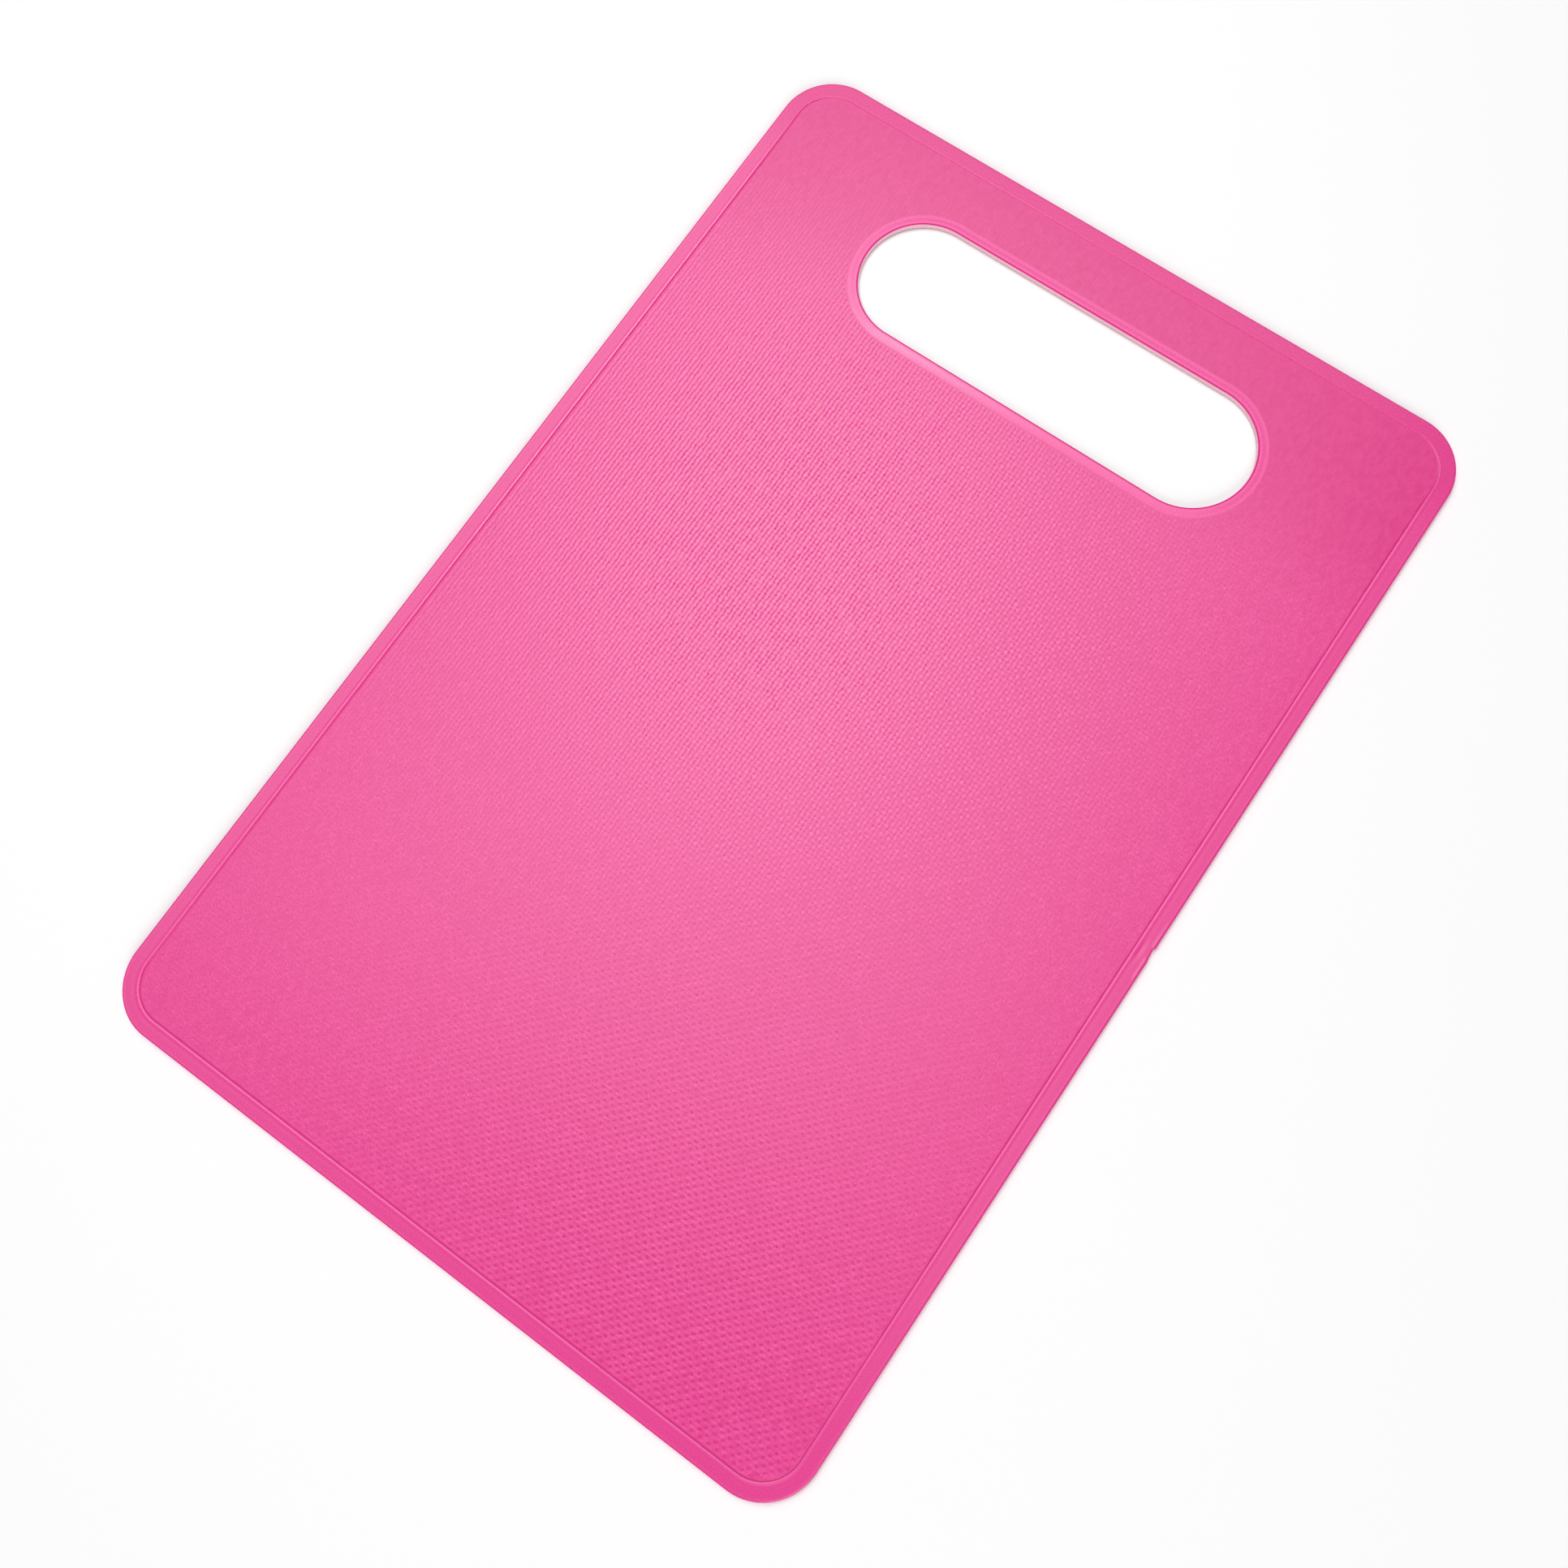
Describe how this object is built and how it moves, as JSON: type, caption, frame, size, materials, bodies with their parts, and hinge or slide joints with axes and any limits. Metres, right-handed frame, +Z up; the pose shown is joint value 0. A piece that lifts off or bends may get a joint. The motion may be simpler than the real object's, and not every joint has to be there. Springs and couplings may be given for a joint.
{
  "type": "flexible cutting mat",
  "caption": "Thin flexible cutting mat with a woven-embossed field, a smooth raised border and a round-ended handle slot.",
  "frame": {"origin": "under the centre of the mat's outline, on the surface that it lies on", "axes": "+Z up, +Y along the mat's length towards the handle slot, +X across its width"},
  "size_m": [0.2, 0.3, 0.002],
  "materials": {
    "embossed_sheet": "satin, fine plain-weave emboss",
    "smooth_rim": "smooth, half gloss"
  },
  "bodies": {
    "root": {"cutting_panel": "embossed_sheet", "edge_rim": "smooth_rim", "handle_rim": "smooth_rim"}
  },
  "joints": []
}
